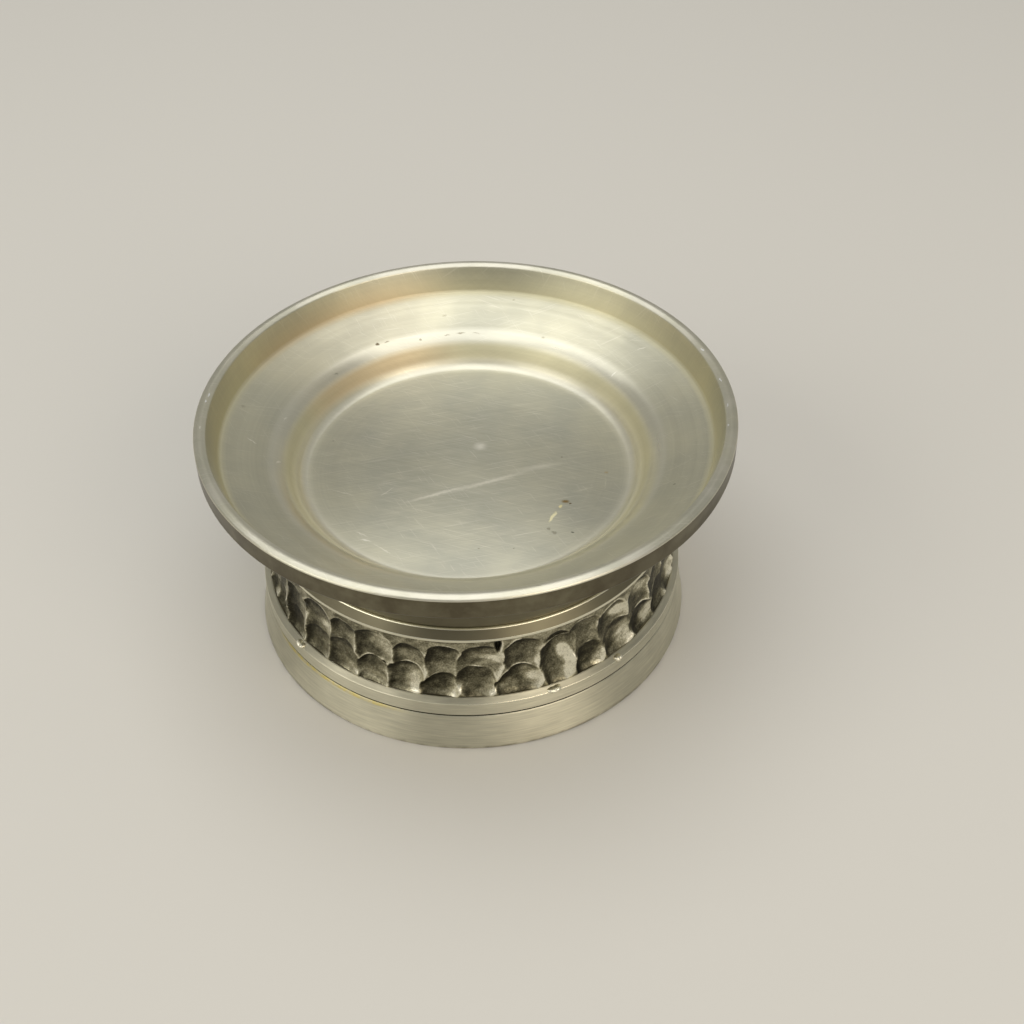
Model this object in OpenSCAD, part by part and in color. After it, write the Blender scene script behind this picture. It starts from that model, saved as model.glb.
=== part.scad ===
// Pewter wine bottle coaster: a turned dish on a cast drum with a scooped frieze and a turned foot.
// The bottle stands in the recess in the middle of the dish. Millimetres, +Z up, base at z = 0.

/* [Dish] */
// Outside diameter over the rim
rim_d = 115; // [110:0.5:125]
// Height of the straight outer wall of the rim
rim_wall_h = 5.1; // [4:0.1:6]
// Width of the crowned lip on top of the rim
lip_w = 2.6; // [2:0.1:4]
// Rise of the lip's crown above its edges
lip_crown = 0.45; // [0.3:0.05:0.8]
// How far the rim's inner face leans outward over its height
rim_lean = 1.8; // [1:0.1:3]
// Height from the ledge's outer edge up to the lip
rim_depth = 6.2; // [5.5:0.1:9]
// Fall of the ledge from the rim to the recess
ledge_fall = 5.1; // [4:0.1:7]
// Thickness of the dish metal
dish_t = 2; // [1.6:0.1:2.6]

/* [Bottle recess] */
// Diameter of the recess floor that the bottle stands on
floor_d = 72.6; // [68:0.2:78]
// How far the recess wall leans outward over its height
recess_lean = 3.7; // [2.5:0.1:5]
// Depth of the recess below the ledge's inner edge
recess_depth = 5.3; // [4:0.1:6]

/* [Neck] */
// Height of the plain neck from the shoulder up to the dish
neck_h = 9.4; // [9:0.1:13]
// Wall of the neck
neck_wall = 1.9; // [1.4:0.1:3]
// Height of the turned step on the dish that locates it in the neck
dish_spigot_h = 1.5; // [1:0.1:2.2]
// How far that step stands out from the recess wall at the dish's seat
dish_spigot_w = 0.2; // [0.1:0.05:0.5]
// Height from the dish's seat on the neck up to the edge of the recess
seat_rise = 1.6; // [1.3:0.1:2.2]

/* [Frieze ring] */
// Height of the sloping shoulder between the neck and the frieze
shoulder_h = 2.2; // [1.5:0.1:4]
// How far the shoulder's edge stands out from the neck
neck_step = 0.4; // [0.3:0.05:1]
// How far the shoulder spreads down to the upper row of scoops
shoulder_spread = 1.5; // [1:0.1:2.5]
// How far the lower row of scoops stands out from the upper row
row_step = 1; // [0.5:0.1:1.5]
// Height of the plain band under the frieze
band_h = 3.6; // [3:0.1:6]
// How far the band's rounded edge stands out from the lower row
band_step = 1.2; // [0.6:0.1:1.6]
// Height of that rounded edge
band_edge_h = 0.8; // [0.5:0.1:1.5]
// Wall of the ring behind the plain band
band_wall = 3.4; // [2.8:0.1:4]

/* [Scoops] */
// Width of the widest scoops; two rows of them make the height of the frieze
scoop_w = 7; // [6:0.1:9]
// Depth of the deepest scoops below the frieze's face
scoop_depth = 1.2; // [0.8:0.05:1.4]
// Narrowest rib left between two scoops
scoop_rib = 0.4; // [0.3:0.05:0.8]
// Plain strip left above and below the scoops
scoop_margin = 0.8; // [0.4:0.1:1.5]

/* [Foot ring] */
// Height of the foot from the table to the groove
foot_h = 9.1; // [7:0.1:14]
// How far the foot spreads from the groove to the table
foot_spread = 1.6; // [0.8:0.1:3]
// Wall of the foot at the table
foot_wall = 4.3; // [3.2:0.1:4.8]
// Depth and half width of the groove between the foot and the frieze ring
groove = 0.4; // [0.2:0.05:0.8]
// Height of the foot's spigot inside the frieze ring
foot_spigot_h = 3; // [2:0.1:3.4]
// Wall of the foot's spigot
foot_spigot_t = 1.6; // [1.2:0.1:2]
// Thickness of the web that carries the spigot
foot_web_t = 2.2; // [1.5:0.1:3]

/* [Joints] */
// Radial clearance between a spigot and its bore
fit_gap = 0.05; // [0.02:0.01:0.1]
// Height of a solder fillet
solder_h = 1.3; // [0.8:0.1:1.6]
// Width of a solder fillet
solder_w = 1; // [0.6:0.1:1.1]

/* [Edges] */
// Rounding of the recess shoulder
shoulder_round = 2.2; // [1:0.1:3]
// Fillet between the recess wall and its floor
floor_fillet = 2.4; // [1:0.1:3]
// Fillet between the ledge and the rim
ledge_fillet = 1.2; // [0.5:0.1:1.6]
// Rounding of the rim's lower edge and the foot's lower edge
low_edge_round = 0.7; // [0.3:0.1:1]
// Rounding of the small turned edges
fine_round = 0.2; // [0.1:0.05:0.25]

/* [Hidden] */
$fn = 96;
arc_steps = 6;

// Heights, from the table up
joint_z = foot_h;
band_top_z = joint_z + band_h;
frieze_h = 2 * scoop_w + scoop_rib + 2 * scoop_margin;
frieze_bottom_z = band_top_z + band_edge_h;
frieze_top_z = frieze_bottom_z + frieze_h;
row_joint_z = (frieze_bottom_z + frieze_top_z) / 2;
shoulder_z = frieze_top_z + shoulder_h;
seat_z = shoulder_z + neck_h;
recess_edge_z = seat_z + seat_rise;
floor_z = recess_edge_z - recess_depth;
ledge_z = recess_edge_z + ledge_fall;
lip_z = ledge_z + rim_depth;
spigot_end_z = seat_z - dish_spigot_h;
foot_spigot_z = joint_z + foot_spigot_h;
low_bore_top_z = foot_spigot_z + solder_h + groove;

// Recess wall and its underside, parallel to it, as a point and a run
floor_r = floor_d / 2;
recess_r = floor_r + recess_lean;
recess_run = [recess_lean, recess_depth];
recess_under = [floor_r, floor_z] + below(recess_run) * dish_t;

// Radii, from the recess outward
neck_bore_r = r_at(recess_under, recess_run, seat_z) + dish_spigot_w + fit_gap;
neck_r = neck_bore_r + neck_wall;
seat_r = neck_r + fine_round;
shoulder_r = neck_r + neck_step;
upper_row_r = shoulder_r + shoulder_spread;
lower_row_r = upper_row_r + row_step;
band_r = lower_row_r + band_step;
low_bore_r = band_r - band_wall;
foot_r = band_r + foot_spread;
foot_bore_r = foot_r - foot_wall;
foot_spigot_r = low_bore_r - fit_gap;
dish_spigot_r = neck_bore_r - fit_gap;
rim_r = rim_d / 2;
lip_inner_r = rim_r - lip_w;
ledge_r = lip_inner_r - rim_lean;

// Ledge and its underside
ledge_run = [ledge_r - recess_r, ledge_fall];
ledge_under = [ledge_r, ledge_z] + below(ledge_run) * dish_t;

// Room for solder under the dish's spigot, beside the recess wall
solder_room = neck_bore_r - r_at(recess_under, recess_run, spigot_end_z);

// Scoops, in as many columns as fit round the upper row
scoop_count = floor(2 * PI * upper_row_r / (scoop_w + scoop_rib));
scoop_pitch = 360 / scoop_count;
row_drop = scoop_margin + scoop_w / 2;

// Shares of the widest scoop and of the deepest one that make the rows uneven, taken in turn
upper_width_shares = [0.9, 1, 0.84, 1, 0.92, 0.86, 1, 0.96, 0.98, 0.9, 0.97, 0.93, 1];
lower_width_shares = [1, 0.93, 0.95, 0.86, 0.97, 1, 0.92, 1, 0.98, 0.88, 1, 0.96, 0.94];
depth_shares = [1, 0.9, 0.82, 1, 0.88, 0.94, 0.84];

// Unit vector square to a run, on its lower and outer side
function below(run) = [run.y, -run.x] / norm(run);

// Radius of a line at a given height, and height of a line at a given radius
function r_at(point, run, z) = point.x + run.x * (z - point.y) / run.y;
function z_at(point, run, r) = point.y + run.y * (r - point.x) / run.x;

// Points that round the corner b between its neighbours a and c
function corner(a, b, c, radius) =
    let (u = (a - b) / norm(a - b), w = (c - b) / norm(c - b), half = acos(u * w) / 2)
    let (centre = b + (u + w) / norm(u + w) * radius / sin(half))
    let (from = b + u * radius / tan(half) - centre, to = b + w * radius / tan(half) - centre)
    let (start = atan2(from.y, from.x), sweep = atan2(to.y, to.x) - start)
    let (turn = sweep > 180 ? sweep - 360 : sweep < -180 ? sweep + 360 : sweep)
    [for (i = [0:arc_steps])
        let (angle = start + turn * i / arc_steps)
        centre + radius * [cos(angle), sin(angle)]];

// Outline from rows of radius, height and rounding
function rounded(rows) =
    let (n = len(rows), points = [for (row = rows) [row.x, row.y]])
    [for (i = [0:n - 1])
        each rows[i].z > 0 ? corner(points[(i + n - 1) % n], points[i], points[(i + 1) % n], rows[i].z)
        : [points[i]]];

// A ring or disc turned from an outline
module turned(rows) {
    rotate_extrude() polygon(rounded(rows));
}

// One scoop: the low cap of a ball that sinks into a row's face by its depth
module scoop(azimuth, face_r, z, width, depth) {
    ball_r = (width * width / 4 + depth * depth) / (2 * depth);
    rotate([0, 0, azimuth])
        translate([face_r, 0, z])
            rotate([0, 90, 0])
                intersection() {
                    translate([0, 0, ball_r - depth]) sphere(r = ball_r);
                    translate([0, 0, -2 * depth]) cylinder(r = width / 2 + scoop_rib / 4, h = 3 * depth);
                }
}

// One row of scoops round the ring; side sends the narrow ones up or down to the frieze's edge
module scoop_row(face_r, z, width_shares, side) {
    for (i = [0:scoop_count - 1]) {
        width = scoop_w * width_shares[i % len(width_shares)];
        depth = scoop_depth * depth_shares[i % len(depth_shares)];
        scoop(scoop_pitch * i, face_r, z + side * (scoop_w - width) / 2, width, depth);
    }
}

// Solder fillet in the corner of a bore: side is 1 when the fillet climbs and -1 when it hangs
module solder_fillet(bore_r, z, width, side) {
    turned([
        [bore_r - width, z, 0],
        [bore_r - width / 3, z + side * solder_h / 3, 0],
        [bore_r, z + side * solder_h, 0],
        [bore_r, z, 0],
    ]);
}

// Turned dish: crowned rim, sloping ledge and the recess that holds the bottle
module dish() {
    color([0.66, 0.65, 0.57])
        turned([
            [0, floor_z, 0],
            [floor_r, floor_z, floor_fillet],
            [recess_r, recess_edge_z, shoulder_round],
            [ledge_r, ledge_z, ledge_fillet],
            [lip_inner_r, lip_z - lip_crown, fine_round],
            [rim_r - lip_w / 2, lip_z, lip_w / 2],
            [rim_r, lip_z - lip_crown, fine_round],
            [rim_r, lip_z - rim_wall_h, low_edge_round],
            [ledge_under.x, ledge_under.y, low_edge_round],
            [seat_r, z_at(ledge_under, ledge_run, seat_r), 0],
            [seat_r, seat_z, 0],
            [dish_spigot_r, seat_z, 0],
            [dish_spigot_r, spigot_end_z, 0],
            [r_at(recess_under, recess_run, spigot_end_z), spigot_end_z, 0],
            [r_at(recess_under, recess_run, floor_z - dish_t), floor_z - dish_t, fine_round],
            [0, floor_z - dish_t, 0],
        ]);
}

// Solder that hangs under the dish's spigot, inside the neck
module neck_solder() {
    color([0.72, 0.71, 0.66]) solder_fillet(neck_bore_r, spigot_end_z, min(solder_w, solder_room), -1);
}

// Cast drum: plain neck, sloping shoulder, two rows of scoops and a plain band
module frieze_ring() {
    color([0.42, 0.41, 0.34])
        difference() {
            turned([
                [neck_bore_r, seat_z, 0],
                [neck_r, seat_z, 0],
                [neck_r, shoulder_z, fine_round],
                [shoulder_r, shoulder_z, fine_round],
                [upper_row_r, frieze_top_z, fine_round],
                [upper_row_r, row_joint_z + scoop_rib / 2, 0],
                [lower_row_r, row_joint_z - scoop_rib / 2, 0],
                [lower_row_r, frieze_bottom_z, fine_round],
                [band_r, band_top_z, fine_round],
                [band_r, joint_z + groove, 0],
                [band_r - groove, joint_z, 0],
                [low_bore_r, joint_z, 0],
                [low_bore_r, low_bore_top_z, 0],
                [neck_bore_r, shoulder_z, 0],
            ]);
            scoop_row(upper_row_r, frieze_top_z - row_drop, upper_width_shares, 1);
            scoop_row(lower_row_r, frieze_bottom_z + row_drop, lower_width_shares, -1);
        }
}

// Solder that lies on the foot's spigot, inside the frieze ring
module foot_solder() {
    color([0.72, 0.71, 0.66]) solder_fillet(low_bore_r, foot_spigot_z, solder_w, 1);
}

// Turned foot with a spigot that enters the frieze ring
module foot_ring() {
    color([0.62, 0.61, 0.53])
        turned([
            [foot_bore_r, 0, fine_round],
            [foot_r, 0, low_edge_round],
            [band_r, joint_z - groove, 0],
            [band_r - groove, joint_z, 0],
            [foot_spigot_r, joint_z, 0],
            [foot_spigot_r, foot_spigot_z, 0],
            [foot_spigot_r - foot_spigot_t, foot_spigot_z, 0],
            [foot_spigot_r - foot_spigot_t, joint_z - foot_web_t, 0],
            [foot_bore_r, joint_z - foot_web_t, 0],
        ]);
}

dish();
neck_solder();
frieze_ring();
foot_solder();
foot_ring();
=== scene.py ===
import math
from collections import namedtuple

import bmesh
import bpy
import numpy as np
from mathutils import Matrix, Vector


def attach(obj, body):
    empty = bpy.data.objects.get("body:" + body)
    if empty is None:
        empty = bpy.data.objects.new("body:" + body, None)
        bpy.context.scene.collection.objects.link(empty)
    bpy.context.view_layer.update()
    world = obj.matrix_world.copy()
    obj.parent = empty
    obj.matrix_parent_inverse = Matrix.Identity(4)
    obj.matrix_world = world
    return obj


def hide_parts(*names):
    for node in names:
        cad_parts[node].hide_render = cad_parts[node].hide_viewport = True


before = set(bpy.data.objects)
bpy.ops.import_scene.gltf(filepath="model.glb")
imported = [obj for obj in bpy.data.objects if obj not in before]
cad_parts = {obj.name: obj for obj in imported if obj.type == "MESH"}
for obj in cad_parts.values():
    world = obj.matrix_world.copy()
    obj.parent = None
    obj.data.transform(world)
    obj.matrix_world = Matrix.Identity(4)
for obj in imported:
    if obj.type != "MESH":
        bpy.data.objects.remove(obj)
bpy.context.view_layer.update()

MM = 0.001
NEAR = 0.01
TURN = 2 * math.pi

# Heights of the coaster in millimetres, from the table up
GROOVE = 0.4
FOOT_WEB_Z = 6.9
JOINT_Z = 9.1
FOOT_SPIGOT_Z = 12.1
BAND_TOP_Z = 12.7
CHAMFER_Z = 13.25
FRIEZE_BOTTOM_Z = 13.5
LOW_BORE_TOP_Z = 13.8
FRIEZE_TOP_Z = 29.2
FRIEZE_EDGE_Z = 29.5
SHOULDER_Z = 31.7
FLOOR_UNDER_Z = 35.4
FLOOR_Z = 37.4
SPIGOT_END_Z = 39.6
SEAT_Z = 41.1
SEAT_TOP_Z = 42.0
RECESS_EDGE_Z = 42.7
FLARE_Z = 45.94
LEDGE_Z = 47.8
RIM_BOTTOM_Z = 48.9
LIP_Z = 54.0
LIP_CROWN = 0.45

# Radii in millimetres
HUB_R = 1.0
FLOOR_R = 36.3
FLOOR_UNDER_R = 38.3
RECESS_R = 40.0
SPIGOT_END_R = 41.2
DISH_SPIGOT_R = 41.52
NECK_BORE_R = 41.57
FOOT_SPIGOT_IN_R = 42.52
FRIEZE_SEAT_R = 43.2
FRIEZE_BACK_R = 43.3
NECK_R = 43.47
SEAT_R = 43.67
SHOULDER_R = 43.87
FOOT_SPIGOT_R = 44.12
LOW_BORE_R = 44.17
FOOT_BORE_R = 44.87
UPPER_ROW_R = 45.37
CLEAN_LEDGE_R = 46.12
LOWER_ROW_R = 46.37
CHAMFER_R = 46.745
BAND_R = 47.57
FOOT_R = 49.17
LEDGE_R = 53.1
FLARE_R = 53.83
LIP_IN_R = 54.9
RIM_R = 57.5

# Segments of the turned pieces, steps of their roundings and angles up to which they shade smooth
DISH_SEGMENTS = 360
RING_SEGMENTS = 320
FILLET_SEGMENTS = 240
SMALL_ROUNDING = 0.5
SMALL_STEPS = 3
LARGE_STEPS = 8
TURNED_ANGLE = 32
SOFT_ANGLE = 60


def srgb(code):
    """A colour written as sRGB hex, as Blender's linear values."""
    parts = [int(code[i:i + 2], 16) / 255 for i in (1, 3, 5)]
    return [p / 12.92 if p <= 0.04045 else ((p + 0.055) / 1.055) ** 2.4 for p in parts] + [1.0]


def node(tree, kind, inputs=None, **settings):
    """Adds a node; an input takes a value, a socket to link, or a node whose first output is linked."""
    made = tree.nodes.new(kind)
    for key, value in settings.items():
        setattr(made, key, value)
    for key, value in (inputs or {}).items():
        if isinstance(value, bpy.types.Node):
            value = value.outputs[0]
        if isinstance(value, bpy.types.NodeSocket):
            tree.links.new(value, made.inputs[key])
        else:
            made.inputs[key].default_value = value
    return made


# Turning on the lathe
def select_ring(obj, radius, height):
    """Selects the circle of edges at that radius and height, in millimetres."""
    mesh = bmesh.from_edit_mesh(obj.data)
    for vertex in mesh.verts:
        away = math.hypot(math.hypot(vertex.co.x, vertex.co.y) / MM - radius, vertex.co.z / MM - height)
        vertex.select_set(vertex.select or away < NEAR)
    mesh.select_flush(True)
    bmesh.update_edit_mesh(obj.data)


def deselect():
    bpy.ops.mesh.select_all(action="DESELECT")


def take_up(obj):
    """Selects one object alone, for the operators that follow."""
    bpy.ops.object.select_all(action="DESELECT")
    obj.select_set(True)
    bpy.context.view_layer.objects.active = obj


def round_offset(before, corner, after, radius):
    """How far along the outline a corner's rounding starts."""
    a = Vector(before[:2]) - Vector(corner[:2])
    b = Vector(after[:2]) - Vector(corner[:2])
    return radius / math.tan(a.angle(b) / 2)


def turned(name, outline, segments, hub=False):
    """Turns a solid from rows of radius, height and rounding: a circle is extruded from row to row."""
    bpy.ops.object.select_all(action="DESELECT")
    radius, height, _ = outline[0]
    bpy.ops.mesh.primitive_circle_add(vertices=segments, radius=radius * MM, location=(0, 0, height * MM))
    obj = bpy.context.object
    obj.name = obj.data.name = name
    bpy.ops.object.transform_apply(location=True)
    bpy.ops.object.mode_set(mode="EDIT")
    bpy.ops.mesh.select_mode(type="VERT")
    bpy.ops.mesh.select_all(action="SELECT")
    for old, new in zip(outline, outline[1:]):
        rise = (new[1] - old[1]) * MM
        grow = new[0] / old[0]
        bpy.ops.mesh.extrude_edges_move(TRANSFORM_OT_translate={"value": (0, 0, rise)})
        bpy.ops.transform.resize(value=(grow, grow, 1), center_override=(0, 0, new[1] * MM))
    if hub:
        for radius, height, _ in (outline[0], outline[-1]):
            deselect()
            select_ring(obj, radius, height)
            bpy.ops.mesh.edge_face_add()
            bpy.ops.mesh.poke()
    else:
        deselect()
        select_ring(obj, *outline[0][:2])
        select_ring(obj, *outline[-1][:2])
        bpy.ops.mesh.bridge_edge_loops()
    for i, corner in enumerate(outline):
        radius, height, rounding = corner
        if rounding > 0:
            start = round_offset(outline[i - 1], corner, outline[(i + 1) % len(outline)], rounding)
            deselect()
            select_ring(obj, radius, height)
            steps = SMALL_STEPS if rounding < SMALL_ROUNDING else LARGE_STEPS
            bpy.ops.mesh.bevel(offset=start * MM, segments=steps, affect="EDGES", clamp_overlap=False)
    bpy.ops.mesh.select_all(action="SELECT")
    bpy.ops.mesh.normals_make_consistent(inside=False)
    deselect()
    bpy.ops.object.mode_set(mode="OBJECT")
    return obj


def smooth(obj, angle):
    """Smooth shading up to that angle, with flat faces kept flat beside the roundings."""
    take_up(obj)
    bpy.ops.object.shade_smooth_by_angle(angle=math.radians(angle))
    even = obj.modifiers.new("even", "WEIGHTED_NORMAL")
    even.keep_sharp = True
    bpy.ops.object.modifier_apply(modifier=even.name)


Face = namedtuple("Face", "radius height upward")


def finish_faces(obj, materials, pick):
    """Gives each face one of the materials, by its middle in millimetres and how far it looks up."""
    for material in materials:
        obj.data.materials.append(material)
    for polygon in obj.data.polygons:
        middle = polygon.center / MM
        face = Face(math.hypot(middle.x, middle.y), middle.z, polygon.normal.z)
        polygon.material_index = pick(face)


def mount(obj, slot, *nodes):
    """The piece goes with the coaster and stands for those CAD nodes, which it hides; slot is not used."""
    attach(obj, "root")
    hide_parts(*nodes)


# Patterns on turned metal; in a Map Range node, 0 is the value, 1 and 2 its range, 3 and 4 the new range
Place = namedtuple("Place", "point flat radius height towards")
# Between which values a noise mostly lies, and over how much of it a scratch fades
NOISE = (0.3, 0.7)
PEAK = 0.06


def lathe_places(tree):
    """The point, the point seen from above, its radius and height, and its direction from the axis."""
    point = node(tree, "ShaderNodeTexCoord").outputs["Object"]
    split = node(tree, "ShaderNodeSeparateXYZ", {0: point})
    flat = node(tree, "ShaderNodeCombineXYZ", {"X": split.outputs["X"], "Y": split.outputs["Y"]}).outputs[0]
    radius = node(tree, "ShaderNodeVectorMath", {0: flat}, operation="LENGTH").outputs["Value"]
    towards = node(tree, "ShaderNodeVectorMath", {0: flat}, operation="NORMALIZE").outputs["Vector"]
    return Place(point, flat, radius, split.outputs["Z"], towards)


def lathe_lines(tree, at, spacing, drift, detail):
    """Fine turned lines: a noise that changes fast along the outline and slowly round the axis."""
    along = node(tree, "ShaderNodeMath", {0: at.radius, 1: at.height}, operation="ADD")
    fast = node(tree, "ShaderNodeMath", {0: along, 1: 1 / (spacing * MM)}, operation="MULTIPLY")
    slow = node(tree, "ShaderNodeVectorMath", {0: at.towards, "Scale": drift}, operation="SCALE")
    parts = node(tree, "ShaderNodeSeparateXYZ", {0: slow})
    place = node(tree, "ShaderNodeCombineXYZ", {
        "X": fast, "Y": parts.outputs["X"], "Z": parts.outputs["Y"]})
    return node(tree, "ShaderNodeTexNoise", {"Vector": place, "Scale": 1.0, "Detail": detail})


def strokes(tree, point, angle, length, width):
    """Straight strokes of a cloth or steel wool in one direction: a stretched noise."""
    scale = (1 / (length * MM), 1 / (width * MM), 1 / (length * MM))
    turn = node(tree, "ShaderNodeMapping", {"Vector": point, "Rotation": (0, 0, math.radians(angle))})
    place = node(tree, "ShaderNodeMapping", {"Vector": turn, "Scale": scale})
    return node(tree, "ShaderNodeTexNoise", {"Vector": place, "Scale": 1.0, "Detail": 1.0})


def scratches(tree, point, angle, length, width, rarity):
    """Fine scratches in one direction: only the peaks of the strokes are kept."""
    marks = strokes(tree, point, angle, length, width)
    return node(tree, "ShaderNodeMapRange", {0: marks, 1: rarity, 2: rarity + PEAK},
                interpolation_type="SMOOTHSTEP")


def spot(tree, place, x, y, half_length, half_width, turn, softness):
    """A soft oval on the plan of the piece, in millimetres and degrees: 1 in its middle and 0 outside."""
    local = node(tree, "ShaderNodeMapping", {
        "Vector": place,
        "Location": (x * MM, y * MM, 0),
        "Rotation": (0, 0, math.radians(turn)),
        "Scale": (half_length * MM, half_width * MM, 1),
    }, vector_type="TEXTURE")
    away = node(tree, "ShaderNodeVectorMath", {0: local}, operation="LENGTH").outputs["Value"]
    return node(tree, "ShaderNodeMapRange", {0: away, 1: 1.0, 2: 1.0 - softness},
                interpolation_type="SMOOTHSTEP")


def facing(tree, at, azimuth, start, end, most):
    """A share that rises to its most on the side of the piece at that azimuth in degrees."""
    side = (math.cos(math.radians(azimuth)), math.sin(math.radians(azimuth)), 0)
    along = node(tree, "ShaderNodeVectorMath", {0: at.towards, 1: side}, operation="DOT_PRODUCT")
    return node(tree, "ShaderNodeMapRange", {0: along.outputs["Value"], 1: start, 2: end, 3: 0.0, 4: most},
                interpolation_type="SMOOTHSTEP")


def laid_over(tree, colour, layers):
    """Lays thin colours over a first one, each from its share and its hex colour."""
    for share, code in layers:
        mixed = node(tree, "ShaderNodeMix", {0: share, 6: colour, 7: srgb(code)}, data_type="RGBA")
        colour = mixed.outputs[2]
    return colour


def set_stops(ramp, stops):
    """Gives a colour ramp its places, in rising order, and their colours."""
    elements = ramp.color_ramp.elements
    for _ in stops[2:]:
        elements.new(1.0)
    for element, (place, colour) in zip(elements, stops):
        element.position = place
        element.color = colour


def new_material(name):
    material = bpy.data.materials.new(name)
    material.use_nodes = True
    tree = material.node_tree
    shader = tree.nodes["Principled BSDF"]
    shader.inputs["Metallic"].default_value = 1.0
    return material, tree, shader


# Small marks on the top of the dish: x, y, half length, half width, turn, softness, strength, colour
MARKS = [
    (-7.0, -9.0, 10.5, 0.7, 19, 1.0, 0.50, "#efeadb"),
    (4.5, -5.6, 12.5, 0.9, 19, 1.0, 0.45, "#efeadb"),
    (15.5, -1.4, 8.5, 1.3, 12, 1.0, 0.30, "#efeadb"),
    (25.0, -9.4, 3.4, 0.35, 16, 0.9, 0.30, "#e8e4d2"),
    (29.4, -8.0, 2.8, 0.22, 78, 0.9, 0.35, "#e8e4d2"),
    (30.1, -4.2, 0.7, 0.6, 0, 0.9, 0.45, "#b89a58"),
    (17.3, -17.9, 2.1, 0.5, 62, 0.5, 1.0, "#f6efc6"),
    (19.2, -14.7, 0.9, 0.4, 55, 0.6, 0.90, "#efe3ae"),
    (20.4, -13.2, 1.2, 0.7, -10, 0.8, 0.85, "#84682c"),
    (21.4, -13.9, 0.4, 0.35, 0, 0.7, 0.90, "#5a4420"),
    (16.2, -21.4, 0.55, 0.45, 30, 0.5, 0.45, "#6f6856"),
    (17.3, -22.8, 0.8, 0.55, -30, 0.5, 0.45, "#746d5b"),
    (21.0, -22.9, 0.42, 0.34, 0, 0.6, 0.85, "#54584c"),
    (1.3, -26.5, 0.36, 0.3, 0, 0.8, 0.60, "#6c6656"),
    (8.6, -27.0, 0.34, 0.28, 0, 0.8, 0.55, "#6c6656"),
    (20.7, 1.6, 0.34, 0.3, 0, 0.8, 0.55, "#6c6656"),
    (-30.1, 10.5, 0.34, 0.28, 0, 0.8, 0.60, "#6c6656"),
    (2.8, 6.5, 2.1, 1.9, 0, 1.0, 0.50, "#f2eee2"),
    (-27.5, -7.2, 4.4, 0.18, -24, 0.8, 0.55, "#ece8da"),
    (-17.8, -7.6, 2.8, 0.2, 42, 0.8, 0.40, "#ece8da"),
    (-22.8, -20.8, 2.2, 0.22, -38, 0.8, 0.50, "#f2eee2"),
    (-22.0, -22.7, 1.6, 0.35, -22, 0.8, 0.65, "#f6f3e8"),
    (-18.4, -25.6, 3.4, 0.2, -42, 0.8, 0.50, "#f2eee2"),
    (-20.2, 38.0, 0.7, 0.42, 20, 0.6, 0.85, "#54452c"),
    (-18.1, 38.9, 0.75, 0.25, 25, 0.7, 0.60, "#6e6146"),
    (-10.0, 40.2, 0.45, 0.32, 10, 0.7, 0.60, "#6e6146"),
    (-3.8, 41.6, 0.9, 0.2, 6, 0.8, 0.55, "#6e6146"),
    (-0.5, 41.9, 1.5, 0.22, 2, 0.8, 0.60, "#6e6146"),
    (3.2, 41.7, 1.3, 0.18, -4, 0.8, 0.50, "#6e6146"),
    (-4.1, 46.6, 0.8, 0.5, 0, 0.9, 0.40, "#857a5a"),
    (12.6, 49.6, 0.6, 0.4, 0, 0.9, 0.40, "#857a5a"),
    (18.9, 38.2, 0.6, 0.3, 0, 0.9, 0.45, "#7a6f52"),
    (-29.7, 28.4, 0.8, 0.3, 40, 0.9, 0.55, "#78715c"),
    (-49.2, 12.3, 0.8, 0.5, 0, 0.9, 0.35, "#857c66"),
    (42.7, -17.8, 0.45, 0.4, 0, 0.8, 0.60, "#6c6656"),
    (-46.6, 2.0, 1.7, 0.16, -30, 0.8, 0.70, "#f6f3e8"),
    (-40.2, 11.6, 0.9, 0.2, 60, 0.8, 0.60, "#f6f3e8"),
    (-40.9, -2.6, 1.0, 0.35, 60, 0.8, 0.65, "#f6f3e8"),
    (34.2, 23.6, 1.3, 0.2, 24, 0.8, 0.65, "#f6f3e8"),
    (41.2, 28.5, 1.4, 0.18, 5, 0.8, 0.50, "#f6f3e8"),
    (-55.2, 7.6, 0.9, 0.22, 82, 0.6, 0.90, "#ffffff"),
    (-55.6, 5.4, 0.6, 0.25, 80, 0.6, 0.80, "#ffffff"),
    (-55.9, -3.6, 0.5, 0.3, 90, 0.6, 0.60, "#f6f3e8"),
    (53.0, 17.2, 0.8, 0.22, -70, 0.6, 0.80, "#ffffff"),
    (55.3, 5.8, 1.0, 0.2, -84, 0.6, 0.90, "#ffffff"),
    (55.5, -2.9, 0.8, 0.2, 88, 0.6, 0.90, "#ffffff"),
    (54.6, -9.6, 0.7, 0.25, 80, 0.6, 0.70, "#ffffff"),
    (12.0, -54.6, 0.7, 0.2, 12, 0.6, 0.50, "#6c6656"),
]


# Lathe lines and clouds that every turned finish has, in millimetres
CLOUD_SIZE = 16
CLOUDS = (0.32, 0.68)
FINE_LINES = (0.25, 0.75)
WIDE_LINES = 6
WIDE_DRIFT = 0.3
LINES_FADE = (18, 38)
LINES_LEFT = 0.12
BAND_ROUGHNESS = (-0.04, 0.05)
PATCH_ROUGHNESS = 0.03
ALONG_THE_LINES = 0.25


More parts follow.
